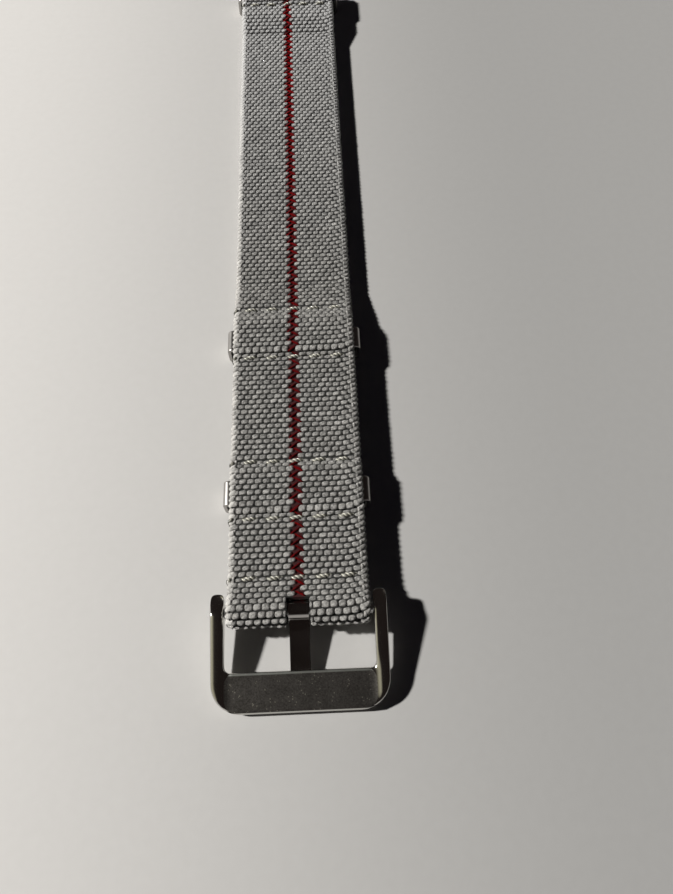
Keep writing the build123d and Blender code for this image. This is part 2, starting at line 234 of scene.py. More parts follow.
# %% Shader sums
class Level:
    """One output of a shader node that takes part in plain sums."""

    def __init__(self, recipe, socket):
        self.recipe, self.socket = recipe, socket

    def sum(self, operation, first, second):
        inputs = {0: first, 1: second}
        return self.recipe.node("ShaderNodeMath", {"operation": operation}, inputs)

    def __add__(self, other):
        return self.sum("ADD", self, other)

    def __radd__(self, other):
        return self.sum("ADD", other, self)

    def __sub__(self, other):
        return self.sum("SUBTRACT", self, other)

    def __rsub__(self, other):
        return self.sum("SUBTRACT", other, self)

    def __mul__(self, other):
        return self.sum("MULTIPLY", self, other)

    def __truediv__(self, other):
        return self.sum("DIVIDE", self, other)

    def __gt__(self, other):
        return self.sum("GREATER_THAN", self, other)

    def __lt__(self, other):
        return self.sum("LESS_THAN", self, other)

    def __abs__(self):
        return self.sum("ABSOLUTE", self, 0)


print("sums that a Level knows: + - * / > < abs")

# %% [markdown]
# Every other node comes from one method, which takes the node's type, its settings and
# what goes into its sockets. The other methods are short names for the nodes that this
# object needs often. A world is a tree of nodes as well, so the room uses it too.

# %% Nodes by name
class Recipe:
    """A tree of shader nodes, made by name, settings and inputs."""

    def __init__(self, owner):
        owner.use_nodes = True
        self.tree = owner.node_tree

    def feed(self, socket, value):
        """Links a Level to a socket, or writes a plain value into it."""
        if isinstance(value, Level):
            self.tree.links.new(value.socket, socket)
        else:
            socket.default_value = value

    def node(self, kind, settings={}, inputs={}, output=0):
        """Adds a node and gives one of its outputs."""
        made = self.tree.nodes.new(kind)
        for name, value in settings.items():
            setattr(made, name, value)
        for key, value in inputs.items():
            self.feed(made.inputs[key], value)
        return Level(self, made.outputs[output])

    def place(self):
        """Where a point of the piece is, in metres."""
        return self.node("ShaderNodeTexCoord", output="Object")

    def parts(self, place):
        """The three numbers of a place or a direction."""
        made = self.node("ShaderNodeSeparateXYZ", {}, {0: place})
        outputs = made.socket.node.outputs
        return [Level(self, outputs[axis]) for axis in ("X", "Y", "Z")]

    def dot(self, first, second):
        """How far one direction reaches along another."""
        kind, settings = "ShaderNodeVectorMath", {"operation": "DOT_PRODUCT"}
        return self.node(kind, settings, {0: first, 1: second}, output="Value")

    def noise(self, place, scale, detail=3.0, roughness=0.5):
        """A cloudy pattern, with as many waves to the metre as its scale says."""
        inputs = {"Vector": place, "Scale": scale, "Detail": detail, "Roughness": roughness}
        return self.node("ShaderNodeTexNoise", {}, inputs)

    def blend(self, share, first, second):
        """A colour between two others."""
        inputs = {"Factor": share, 6: first, 7: second}
        return self.node("ShaderNodeMix", {"data_type": "RGBA"}, inputs, output=2)

    def between(self, level, low, high, out_low=0.0, out_high=1.0):
        """Stretches the range from low to high over another one, and stops at its ends."""
        inputs = {0: level, 1: low, 2: high, 3: out_low, 4: out_high}
        return self.node("ShaderNodeMapRange", {}, inputs)


print("a Recipe has", [name for name in vars(Recipe) if not name.startswith("_")])

# %% Finishes end in a shader
class Finish(Recipe):
    """The recipe of a material, which ends in its shader."""

    def __init__(self, name, **sockets):
        self.material = bpy.data.materials.new(name)
        super().__init__(self.material)
        self.shader = self.tree.nodes["Principled BSDF"]
        for socket, value in sockets.items():
            self.set(socket.replace("_", " "), value)

    def set(self, socket, value):
        """Gives one of the shader's own sockets its value."""
        self.feed(self.shader.inputs[socket], value)

    def bump(self, height, strength, distance):
        """Lets the light fall as if the surface had this height."""
        inputs = {"Height": height, "Strength": strength, "Distance": distance}
        self.set("Normal", self.node("ShaderNodeBump", {}, inputs))


print("a Finish has", [name for name in vars(Finish) if not name.startswith("_")])

# %% [markdown]
# ## Yarn
#
# Each bead carries two things that its finish can read: a tone of its own, which differs a
# little at random and is painted darker towards the bead's base as shade between the beads, and
# a map of the yarn's surface, so that the fine filaments run along the yarn and twist with it.
# Grey and red yarn are the same recipe with other colours. The yarn is painted paler between
# two distances from the spring bar, as painted sheen standing in for the brighter grazing light
# on the far part of the strap.

# %% Yarn finishes
painted_sheen_from, painted_sheen_full_at, painted_sheen_share = 55, 135, 0.65
filament_scale, fuzz_scale, filament_share, yarn_relief = 4.0, 3000.0, 0.6, 0.00012
tone_weight, twist_weight, fuzz_weight = 1.2, 0.5, 2.2
darkest_light, palest_light = 1.15, 2.45
painted_sheen_gain, palest_yarn = 1.35, 0.88


def yarn(name, pale, dark, sheen, gloss):
    """Matt twisted yarn: filaments run along it, and each bead has its own tone."""
    made = Finish(name, Roughness=0.55, Sheen_Weight=sheen, Sheen_Roughness=0.5)
    made.set("Specular IOR Level", gloss)
    tone = made.node("ShaderNodeAttribute", {"attribute_name": "tone"}, output="Fac")
    strand = made.node("ShaderNodeUVMap", {"uv_map": "strand"})
    waves = {"Vector": strand, "Scale": filament_scale, "Distortion": 1.2, "Detail": 1.0}
    twist = made.node("ShaderNodeTexWave", {"bands_direction": "DIAGONAL"}, waves, output="Fac")
    fuzz = made.noise(made.place(), fuzz_scale, 2.0, 0.6)
    light = tone * tone_weight + twist * twist_weight + fuzz * fuzz_weight
    share = made.between(light, darkest_light, palest_light)
    colour = made.blend(share, (*dark, 1), (*pale, 1))
    # Painted sheen: the yarn is painted paler towards the far end of the strap.
    backward = made.parts(made.place())[1]
    ends = ((axis_y + painted_sheen_from) * mm, (axis_y + painted_sheen_full_at) * mm)
    painted_far_sheen = made.between(backward, *ends, 0.0, painted_sheen_share)
    paler = tuple(min(palest_yarn, painted_sheen_gain * c) for c in pale) + (1,)
    made.set("Base Color", made.blend(painted_far_sheen, colour, paler))
    made.bump(twist * filament_share + fuzz, 1.0, yarn_relief)
    return made.material


pale_grey, dark_grey = (0.82, 0.795, 0.745), (0.10, 0.096, 0.089)
pale_red, dark_red = (0.36, 0.002, 0.005), (0.035, 0.001, 0.001)
grey_yarn = yarn("grey_yarn", pale_grey, dark_grey, sheen=0.2, gloss=0.5)
red_yarn = yarn("dark_red_yarn", pale_red, dark_red, sheen=0.0, gloss=0.1)
print("yarn finishes:", grey_yarn.name, red_yarn.name)

# %% The core, painted dark as shade, with red yarn in its middle
red_half_width = 0.75
# Painted shade: the core is painted nearly black, and dark red under the red yarn.
deepest_painted_shade, palest_painted_shade = (0.008, 0.0077, 0.0074, 1), (0.03, 0.029, 0.027, 1)
painted_shade_under_red = (0.03, 0.0012, 0.002, 1)
shade_core = Finish("painted_shade_core_of_the_weave", Roughness=0.95)
shade = shade_core.noise(shade_core.place(), 1500.0)
painted_warp_shade = shade_core.blend(shade, deepest_painted_shade, palest_painted_shade)
under_red = abs(shade_core.parts(shade_core.place())[0]) < red_half_width * mm
shade_core.set("Base Color", shade_core.blend(under_red, painted_warp_shade, painted_shade_under_red))
print("core finish:", shade_core.material.name)

# %% [markdown]
# ## Small helpers for modelling
#
# Blender's operators act on whatever is selected, so a new piece always starts by
# letting go of the old ones. A shape that repeats is modelled once as a pattern, read
# as numbers, and laid down many times into one mesh, which keeps thousands of beads
# light enough to draw.

# %% Starting a piece, and reading a pattern
def start():
    """Leaves edit mode and lets go of every object."""
    if bpy.context.object and bpy.context.object.mode != "OBJECT":
        bpy.ops.object.mode_set(mode="OBJECT")
    bpy.ops.object.select_all(action="DESELECT")


def edit(piece):
    """Selects all of one piece in edit mode."""
    start()
    piece.select_set(True)
    bpy.context.view_layer.objects.active = piece
    bpy.ops.object.mode_set(mode="EDIT")
    bpy.ops.mesh.select_all(action="SELECT")


def taken_pattern(piece, strand_turns=1.0):
    """Reads a modelled shape as corners, faces and yarn map, and clears it away."""
    bpy.ops.object.mode_set(mode="OBJECT")
    corners = np.array([v.co for v in piece.data.vertices])
    faces = [list(f.vertices) for f in piece.data.polygons]
    spread = np.stack([corners[:, 0], corners[:, 1] * strand_turns], -1)
    bpy.data.objects.remove(piece)
    return {"corners": corners, "faces": faces, "strand": spread}


# %% Laying a pattern
strand_shift = 0.37


def laid_out(name, pattern, copies, tones):
    """One mesh of many copies: copies holds the corners of each, in metres."""
    count, size = copies.shape[:2]
    starts, loops = [], []
    for face in pattern["faces"]:
        starts.append(len(loops))
        loops += face
    starts, loops = np.array(starts), np.array(loops)
    all_loops = (loops[None] + size * np.arange(count)[:, None]).ravel()
    all_starts = (starts[None] + len(loops) * np.arange(count)[:, None]).ravel()
    mesh = bpy.data.meshes.new(name)
    mesh.vertices.add(count * size)
    mesh.vertices.foreach_set("co", copies.astype(np.float32).ravel())
    mesh.loops.add(len(all_loops))
    mesh.loops.foreach_set("vertex_index", all_loops.astype(np.int32))
    mesh.polygons.add(len(all_starts))
    mesh.polygons.foreach_set("loop_start", all_starts.astype(np.int32))
    mesh.update(calc_edges=True)
    mesh.shade_smooth()
    shift = np.repeat(np.arange(count) * strand_shift, len(loops))[:, None]
    strand = np.tile(pattern["strand"][loops], (count, 1)) + shift
    yarn_map = mesh.uv_layers.new(name="strand")
    yarn_map.data.foreach_set("uv", strand.astype(np.float32).ravel())
    tones = tones.ravel() if tones.ndim == 2 else np.repeat(tones, size)
    tone = mesh.attributes.new("tone", "FLOAT", "POINT")
    tone.data.foreach_set("value", tones.astype(np.float32))
    piece = bpy.data.objects.new(name, mesh)
    bpy.context.scene.collection.objects.link(piece)
    return piece


print("each copy's yarn map is shifted by", strand_shift)

# %% Turning faces out, and dressing a piece
def turn_faces_out(piece):
    """A mirrored pattern is inside out, so its faces are flipped."""
    edit(piece)
    bpy.ops.mesh.flip_normals()
    bpy.ops.object.mode_set(mode="OBJECT")


def dressed(piece, material, slot, body="strap"):
    """Gives a piece its finish and lets it ride on its body."""
    piece.data.materials.clear()
    piece.data.materials.append(material)
    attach(piece, body)
    triangles = sum(len(f.vertices) - 2 for f in piece.data.polygons)
    print(f"{piece.name}: {triangles} triangles")
    return piece


print("helpers:", turn_faces_out.__name__, "and", dressed.__name__)

# %% [markdown]
# ## One bead of weft
#
# On the real strap a bead is the weft yarn where it rises over a warp yarn: an oval
# pillow, wider than it is long, with its ends diving under the next warp. It could be
# pulled from a flat grid, but a block is nearer to the shape, so a block is rounded
# most of the way to a ball, and all but its upper part is cut away.

# %% The bead
roundness, cut_height = 0.76, 0.5
start()
bpy.ops.mesh.primitive_cube_add(size=2)
block = bpy.context.object
edit(block)
bpy.ops.mesh.subdivide(number_cuts=2)
bpy.ops.transform.tosphere(value=roundness)
cut = {"plane_no": (0, 0, 1), "use_fill": True, "clear_inner": True}
bpy.ops.mesh.bisect(plane_co=(0, 0, cut_height), **cut)
bead = taken_pattern(block, strand_turns=0.8)
low, high = bead["corners"].min(0), bead["corners"].max(0)
bead["corners"] = (bead["corners"] - (0, 0, low[2])) / (high[0], high[1], high[2] - low[2])
print("a bead has", len(bead["faces"]), "faces")

# %% [markdown]
# ## Rows of beads
#
# Neighbouring rows are set off by half a bead, like bricks. In the middle of each row
# one bead is red, and because that bead jumps from side to side with the rows, the red
# yarn shows as a zigzag. A row meets three things on its way: the tang's slot and the
# tail's holes, where its beads stop at the edge, and the seams, where the sewing
# thread pulls it down into a groove. The beads aren't bent with the webbing, as stiff
# little knots of yarn aren't: where it folds round the buckle they stand apart.

# %% How a row runs across the strap
column_pitch, row_pitch = 1.16, 0.87
skew, edge_sweep, sweep_start, weave_edge = 0.006, 0.8, 6.8, 9.3
columns_aside, least_width = 8, 0.3


def row_shift(across):
    """How far a row has run ahead at a place across the strap, towards the tail."""
    past = np.clip((across - sweep_start) / (strap_width / 2 - sweep_start), 0, 1)
    return skew * across + edge_sweep * past**2


def row_beads(row, blocked):
    """Middle, width and redness of each bead of a row, which stops at a blocked part."""
    first = -column_pitch / 4 if row % 2 == 0 else column_pitch / 4
    beads = []
    for k in range(-columns_aside, columns_aside + 1):
        middle = first + k * column_pitch
        low = max(middle - column_pitch / 2, -weave_edge)
        high = min(middle + column_pitch / 2, weave_edge)
        if blocked and middle > 0:
            low = max(low, blocked)
        elif blocked:
            high = min(high, -blocked)
        if high - low < least_width:
            continue
        beads.append(((low + high) / 2, (high - low) / column_pitch, k == 0))
    return beads


print("a whole row has", len(row_beads(0, 0)), "beads")

# %% Where a row is cut short
def blocked_half_width(point):
    """Half the width that the slot or a hole takes out of a row, or nothing."""
    away, height = point
    if away < slot_wrist_reach and height > bar_height:
        return slot_half_width
    if away < slot_outer_reach and height <= bar_height:
        return slot_half_width
    if height < strap_mid and any(abs(away - hole) < hole_length / 2 for hole in holes_at):
        return hole_half_width
    return 0


def tip_limit(away):
    """Half the width of the tail at a distance, which narrows at its round corners."""
    into = away - (tail_length - tip_corner_radius)
    if into <= 0:
        return strap_width / 2
    reach = math.sqrt(max(0, tip_corner_radius**2 - into**2))
    return strap_width / 2 - tip_corner_radius + reach


print("half the tail's width at its tip:", tip_limit(tail_length), "mm")

# %% The table of all beads of one side
end_margin, edge_margin = 0.4, 0.45


def bead_table(first_along, last_along, side):
    """Every bead of one side between two lengths: along, across, width, red, row."""
    table = []
    for row in range(math.ceil(first_along / row_pitch), math.ceil(last_along / row_pitch)):
        along = row * row_pitch + row_pitch / 2
        if along > line_length - end_margin:
            continue
        point, heading, normal = on_line(along)
        blocked = blocked_half_width(point + side * normal * half_webbing)
        limit = tip_limit(point[0]) if along > fold_along else strap_width / 2
        for across, width, red in row_beads(row, blocked):
            if abs(across) < limit - edge_margin:
                table.append((along, across, width, red, row))
    return np.array(table, float)


print("the flap has", len(bead_table(0, fold_along, -1)), "beads on its wrist side")

# %% [markdown]
# No two beads are quite alike, so dice move each one's size, place and tone a little. A
# bead also follows the bend of the webbing: it is longer on the outside of a bend and
# shorter on the inside. At the fold round the spring bar it stands taller and apart.
# Rows next to a seam sink into the groove that the sewing thread pulls.

# %% The size of a bead, and how much it varies
bead_base, bead_height, bead_half_width, bead_half_length = 0.18, 0.46, 0.66, 0.372
fold_reach, fold_rise, fold_narrowing, fold_shortening = 2.2, 0.1, 0.1, 0.035
bend_span, least_stretch, most_stretch = 0.45, 0.85, 1.35
seam_depth, seam_reach, sewn_past_last_seam = 0.19, 0.42, 12
width_spread, length_spread, rise_spread, place_spread = 0.03, 0.04, 0.03, 0.02
bead_slant, slant_spread, slant_per_zigzag, thinning_per_zigzag = 0.07, 0.03, 1.25, 1.1
middle_tone, wide_bead_tone, tall_bead_tone, painted_base_shade = 0.5, 0.07, 0.05, 0.25
print("a bead of full width is", 2 * bead_half_width, "mm wide")

# %% How the beads differ from place to place
def groove(away):
    """How far the sewing pulls the weave down, at distances along the strap."""
    depth = np.zeros_like(away)
    for seam in seams_at:
        depth += seam_depth * np.exp(-(((away - seam) / seam_reach) ** 2))
    return np.where(away < tail_length, depth, 0)


def stretch_of(along, side):
    """How much longer a bead is where the webbing bends away from its side."""
    before, after = on_line(along - bend_span)[1], on_line(along + bend_span)[1]
    bend = before[:, 0] * after[:, 1] - before[:, 1] * after[:, 0]
    return 1 - side * bend / (2 * bend_span)


def placed(across, t, h, line):
    """Corners in metres, from places across, along and away from a line's points."""
    point, heading, normal = line
    made = np.empty((*t.shape, 3))
    made[..., 0] = across
    made[..., 1] = axis_y + point[:, 0:1] + heading[:, 0:1] * t + normal[:, 0:1] * h
    made[..., 2] = point[:, 1:2] + heading[:, 1:2] * t + normal[:, 1:2] * h
    return made * mm


print("the groove of a seam is", round(float(groove(np.array(seams_at))[0]), 3), "mm deep")

# %% Laying the beads of a table
def lay_beads(name, table, side, swell=1.0, zigzag=0.0):
    """Sets a bead at each place of a table, square to the webbing, and gives the piece."""
    along, across, width = table[:, 0], table[:, 1], table[:, 2]
    along = along - row_shift(across)
    point, heading, normal = on_line(np.clip(along, 0, line_length))
    normal = side * normal
    sewn_to = fold_along + seams_at[-1] + sewn_past_last_seam
    sewn = (along < sewn_to) & (along > loop_along)
    sunk = np.where(sewn, groove(point[:, 0]), 0)
    count = len(table)
    wobble = np.array([[dice.gauss(0, 1) for i in range(4)] for j in range(count)])
    corners = bead["corners"]
    turned = np.exp(-(((along - fold_along) / fold_reach) ** 2))
    widths = 1 - fold_narrowing * turned + width_spread * wobble[:, 0]
    x = corners[None, :, 0] * (bead_half_width * swell * width * widths)[:, None]
    stretch = 1 + (stretch_of(along, side) - 1) * (1 - turned)
    stretch = np.clip(stretch, least_stretch, most_stretch)
    length = bead_half_length * stretch - fold_shortening * turned
    length *= (1 + length_spread * wobble[:, 1]) * (1 - thinning_per_zigzag * zigzag)
    height = bead_height + fold_rise * turned + rise_spread * wobble[:, 2]
    swing = zigzag * slant_per_zigzag * np.where(table[:, 4] % 2 == 0, 1, -1)
    slant = bead_slant + swing + slant_spread * wobble[:, 2]
    t = corners[None, :, 1] * length[:, None] - x * slant[:, None]
    h = corners[None, :, 2] * height[:, None] + (bead_base - sunk)[:, None]
    x = across[:, None] + place_spread * wobble[:, 3:4] + x
    tones = middle_tone + wide_bead_tone * wobble[:, 0] + tall_bead_tone * wobble[:, 2]
    tones = np.clip(tones, 0, 1)
    # Painted shade: each bead is painted darker towards its base, where its neighbours shade
    # it.
    light_painted_by_depth = np.clip(painted_base_shade + corners[None, :, 2], 0, 1)
    copies = placed(x, t, h, (point, heading, normal))
    return laid_out(name, bead, copies, tones[:, None] * light_painted_by_depth)


print("the sewn part ends", sewn_past_last_seam, "mm past the last seam")

# %% The weave, stretch by stretch
tail_starts_at = 138
tail_from = fold_along + tail_starts_at
stretches = [
    ("flap_wrist_side", 0, fold_along, -1),
    ("flap_inner_side", 0, fold_along, 1),
    ("strap_outer_side", fold_along, tail_from, -1),
    ("strap_inner_side", fold_along, tail_from, 1),
    ("tail_outer_side", tail_from, line_length, -1),
    ("tail_wrist_side", tail_from, line_length, 1),
]
red_of = {"tail_outer_side": "strap_outer_side", "tail_wrist_side": "strap_inner_side"}
red_parts = {red_of.get(name, name): [] for name, *rest in stretches}
for stretch, first_along, last_along, side in stretches:
    table = bead_table(first_along, last_along, side)
    grey = table[table[:, 3] == 0]
    weave = lay_beads("grey_weave_" + stretch, grey, side)
    dressed(weave, grey_yarn, "grey_webbing")
    red_parts[red_of.get(stretch, stretch)].append((table[table[:, 3] == 1], side))

# %% [markdown]
# ## The red yarn
#
# The red beads are laid like the grey ones, but as pieces of their own, because the
# solid strap has a red yarn in each face of the webbing, and each of these stands for
# one of them.

# %% Red beads
red_stands_for = {
    "flap_wrist_side": "red_yarn_flap_face",
    "flap_inner_side": "red_yarn_flap_back",
    "strap_outer_side": "red_yarn_strap_face",
    "strap_inner_side": "red_yarn_strap_back",
}
for stretch, tables in red_parts.items():
    rows = np.concatenate([table for table, side in tables])
    red = lay_beads("red_weave_" + stretch, rows, tables[0][1], swell=1.2, zigzag=0.5)
    dressed(red, red_yarn, "red_yarn")
    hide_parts(red_stands_for[stretch])

# %% [markdown]
# ## The edges of the webbing
#
# At each edge the weft turns round and comes back on the other face, so the edge is a
# row of slanting loops. One loop is a ring of yarn cut in half, and there is one for
# each row of beads.

# %% One loop
ring_radius, ring_yarn_radius, ring_cut_at = 0.35, 0.26, -0.12
start()
bpy.ops.mesh.primitive_torus_add(
    major_segments=12, minor_segments=6, major_radius=ring_radius,
    minor_radius=ring_yarn_radius, rotation=(math.pi / 2, 0, 0),
)
ring = bpy.context.object
bpy.ops.object.transform_apply(rotation=True)
edit(ring)
cut = {"plane_no": (1, 0, 0), "use_fill": True, "clear_inner": True}
bpy.ops.mesh.bisect(plane_co=(ring_cut_at, 0, 0), **cut)
loop = taken_pattern(ring, strand_turns=2.0)
print("a loop has", len(loop["faces"]), "faces")

# %% The two rows of loops
loop_reach, loop_width, loop_length, loop_middle = 0.93, 1.5, 1.66, 9.6
slant_right, slant_left, slant_from = 0.5, -0.2, 0.4
# Painted light and shade: the loops on the lamp's side, on the left, are painted paler than
# those on the right.
painted_shaded_edge_tone, painted_lit_edge_tone, tone_spread, loop_spread = 0.4, 0.7, 0.14, 0.03
loops_end, least_tip = 0.3, 0.8


def lay_loops(name, edge):
    """A loop round one edge of the webbing for each row, from one face to the other."""
    rows = np.arange(int(line_length / row_pitch)) * row_pitch + row_pitch / 2
    rows = rows[rows < line_length - loops_end]
    shifted = np.clip(rows - row_shift(edge * loop_middle), 0, line_length)
    point, heading, normal = on_line(shifted)
    on_tail = rows > fold_along
    limit = np.where(on_tail, [tip_limit(p) for p in point[:, 0]], strap_width / 2)
    keep = limit > strap_width / 2 - tip_corner_radius + least_tip
    point, heading, normal, limit = point[keep], heading[keep], normal[keep], limit[keep]
    count = len(point)
    wobble = np.array([[dice.gauss(0, 1) for i in range(3)] for j in range(count)])
    corners = loop["corners"]
    slant = slant_right if edge > 0 else slant_left
    x = corners[None, :, 0] * loop_width * (1 + loop_spread * wobble[:, 0:1])
    t = corners[None, :, 1] * loop_length - (x - slant_from) * slant
    h = corners[None, :, 2] * (1 + loop_spread * wobble[:, 1:2])
    x = edge * (limit[:, None] - loop_reach + x)
    tone = painted_shaded_edge_tone if edge > 0 else painted_lit_edge_tone
    tones = np.clip(tone + tone_spread * wobble[:, 2], 0, 1)
    piece = laid_out(name, loop, placed(x, t, h, (point, heading, normal)), tones)
    if edge < 0:
        turn_faces_out(piece)
    return dressed(piece, grey_yarn, "grey_webbing")


for side_name, edge in (("left", -1), ("right", 1)):
    lay_loops("weft_loops_" + side_name, edge)

# %% [markdown]
# ## The core
#
# Between the beads one sees down to the warp, which is dark because little light gets there. A
# thin band painted dark as shade fills that depth, so no light comes through the strap. It
# starts as a flat grid, its rows are carried to the line, the squares at the slot and holes are
# taken out, and a Solidify modifier gives it body.

# %% Where the core band has its rows
core_half_width, core_thickness = 9.45, 0.62
fine_reach, fine_rows, tip_row_count = 8, 81, 8
core_start, core_stop = 0.1, 0.2
hole_cuts = [hole + side * hole_length / 2 for hole in holes_at for side in (-1, 1)]
hole_cuts = [line_length - (tail_length - cut) for cut in hole_cuts]
fine = np.linspace(fold_along - fine_reach, fold_along + fine_reach, fine_rows)
tip_turn = np.sin(np.linspace(0, math.pi / 2, tip_row_count))
tip_rows = line_length - tip_corner_radius * (1 - tip_turn)
alongs = np.concatenate([lengths, hole_cuts, fine, tip_rows - core_stop])
inside_band = (alongs >= core_start) & (alongs <= line_length - core_stop)
alongs = np.unique(np.round(alongs[inside_band], 3))
print("the core band has", len(alongs), "rows")

# %% The core band
tip_inset, slot_share = 0.55, 0.9
columns = np.array([-core_half_width, -slot_half_width, slot_half_width, core_half_width])
start()
bpy.ops.mesh.primitive_grid_add(x_subdivisions=3, y_subdivisions=len(alongs) - 1, size=2)
core = bpy.context.object
core.name = core.data.name = "painted_shade_core_of_the_webbing"
point, heading, normal = on_line(alongs)
for vertex in core.data.vertices:
    column = round((vertex.co.x + 1) / 2 * 3)
    row = round((vertex.co.y + 1) / 2 * (len(alongs) - 1))
    on_tail = alongs[row] > fold_along
    limit = tip_limit(point[row][0]) - tip_inset if on_tail else core_half_width
    across = math.copysign(min(abs(columns[column]), limit), columns[column])
    vertex.co = (across * mm, (axis_y + point[row][0]) * mm, point[row][1] * mm)
edit(core)
bpy.ops.mesh.select_all(action="DESELECT")
bpy.ops.object.mode_set(mode="OBJECT")
for face in core.data.polygons:
    middle = face.center / mm
    away, height = middle.y - axis_y, middle.z
    inside = abs(middle.x) < slot_half_width * slot_share
    face.select = inside and blocked_half_width((away, height)) > 0
bpy.ops.object.mode_set(mode="EDIT")
bpy.ops.mesh.delete(type="FACE")
bpy.ops.object.mode_set(mode="OBJECT")
body = core.modifiers.new("body", "SOLIDIFY")
body.thickness, body.offset = core_thickness * mm, 0
bpy.ops.object.modifier_apply(modifier="body")
dressed(core, shade_core.material, "grey_webbing")
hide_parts("webbing")

# %% [markdown]
# ## Melted holes in the tail
#
# The holes for the tang are cut with a hot blade, which melts the yarn into a hard
# smooth rim. A ring is turned by half a segment, so that no corner lies in its middle,
# pulled apart there to the long shape of the hole, and made as high as the webbing is
# thick.

# %% Rims of the holes
dark_melt, pale_melt = (0.05, 0.045, 0.04, 1), (0.15, 0.138, 0.12, 1)
melted = Finish("melted_yarn", Roughness=0.42)
melt = melted.noise(melted.place(), 2500.0)
melted.set("Base Color", melted.blend(melt, dark_melt, pale_melt))
melted.bump(melt, 0.4, 0.00005)
rim_radius, rim_rise, rim_segments = 0.17, 0.03, 20
start()
bpy.ops.mesh.primitive_torus_add(
    major_segments=rim_segments, minor_segments=8, major_radius=hole_length / 2,
    minor_radius=rim_radius, rotation=(0, 0, math.pi / rim_segments),
)
rim = bpy.context.object
bpy.ops.object.transform_apply(rotation=True)
straight_half = hole_half_width - hole_length / 2
for vertex in rim.data.vertices:
    vertex.co.x += math.copysign(straight_half, vertex.co.x)
    vertex.co.z *= (half_webbing + rim_rise) / rim_radius
rim_pattern = taken_pattern(rim)
rims = np.stack([rim_pattern["corners"] + (0, axis_y + hole, table_mid) for hole in holes_at])
melted_rims = laid_out("melted_rims", rim_pattern, rims * mm, np.full(len(holes_at), 0.5))
dressed(melted_rims, melted.material, "grey_webbing")

# %% [markdown]
# ## Sewing thread
#
# The seams are sewn with a twisted thread of clear, slightly shiny filament. Each
# stitch rises out of one needle hole, crosses the weave and dives into the next, so it
# is an arch of four strands that wind round each other. One stitch is modelled as four
# curves with a round section, and every seam repeats it on both faces.

# %% The finish of the thread
thread = Finish("sewing_thread", Roughness=0.22, Coat_Weight=0.4, Coat_Roughness=0.1)
thread.set("Specular IOR Level", 0.8)
# The thread's colour is painted light and shade: sunk parts of each stitch and every other
# strand are painted darker, and a noise adds painted lustre.
painted_lustre_weight, shaded_light, full_light = 0.6, 0.6, 1.4
painted_lustre = thread.noise(thread.place(), 2600.0)
painted_thread_light = thread.node("ShaderNodeAttribute", {"attribute_name": "tone"}, output="Fac")
light = painted_thread_light + painted_lustre * painted_lustre_weight
lit_share = thread.between(light, shaded_light, full_light)
shaded_thread, lit_thread = (0.10, 0.097, 0.085, 1), (0.70, 0.68, 0.57, 1)
thread.set("Base Color", thread.blend(lit_share, shaded_thread, lit_thread))
print("thread finish:", thread.material.name)

# %% The arch of a stitch, and the strands round it
stitch_length, stitch_count = 3.5, 5
strand_count, strand_radius, twist_radius, turns = 4, 0.12, 0.21, 2.7
arch_rise, arch_depth, arch_overlap, arch_skew = 0.7, 0.76, 1.04, 0.25


def arch(share):
    """The line of a stitch over one stitch length: across, along and height."""
    height = arch_rise * math.sin(math.pi * share) ** 2 - arch_depth
    across = (share - 0.5) * stitch_length * arch_overlap
    return Vector((across, arch_skew * (share - 0.5), height))


def strand_path(phase, count=32):
    """Points of one strand that winds round the arch."""
    found = []
    for i in range(count + 1):
        share = i / count
        turn = math.tau * turns * share + phase
        middle = arch(share)
        found.append(middle + Vector((0, math.cos(turn), math.sin(turn))) * twist_radius)
    return found


print("a stitch rises", round(arch(0.5).z - arch(0).z, 2), "mm")

# %% One stitch
painted_dark_strand_tone = 0.35
start()
bpy.ops.curve.primitive_bezier_curve_add()
stitch = bpy.context.object
stitch.data.splines.clear()
for strand in range(strand_count):
    path = strand_path(math.tau * strand / strand_count)
    spline = stitch.data.splines.new("POLY")
    spline.points.add(len(path) - 1)
    for spot, place in zip(spline.points, path):
        spot.co = (*place, 1)
stitch.data.bevel_depth = strand_radius
stitch.data.bevel_resolution = 1
stitch.data.use_fill_caps = True
bpy.ops.object.convert(target="MESH")
edit(bpy.context.object)
stitch_pattern = taken_pattern(bpy.context.object)
per_strand = len(stitch_pattern["corners"]) // strand_count
strand_of = np.arange(len(stitch_pattern["corners"])) // per_strand
# Painted shade: every other strand is painted darker between the glinting strands.
painted_strand_tone = np.where(strand_of % 2 == 0, 1.0, painted_dark_strand_tone)
print("a stitch has", len(stitch_pattern["faces"]), "faces")

# %% The seams, needle thread on the wrist side and bobbin thread on the outer side
seam_names = [
    "seam_1_buckle_loop", "seam_2_keeper_a_near", "seam_3_keeper_a_far",
    "seam_4_keeper_b_near", "seam_5_keeper_b_far", "seam_6_end_loop",
]
first_half_stitch, first_half_share = 0.45, 0.3
shade_by_depth, across_spread, along_spread = 1.8, 0.08, 0.03


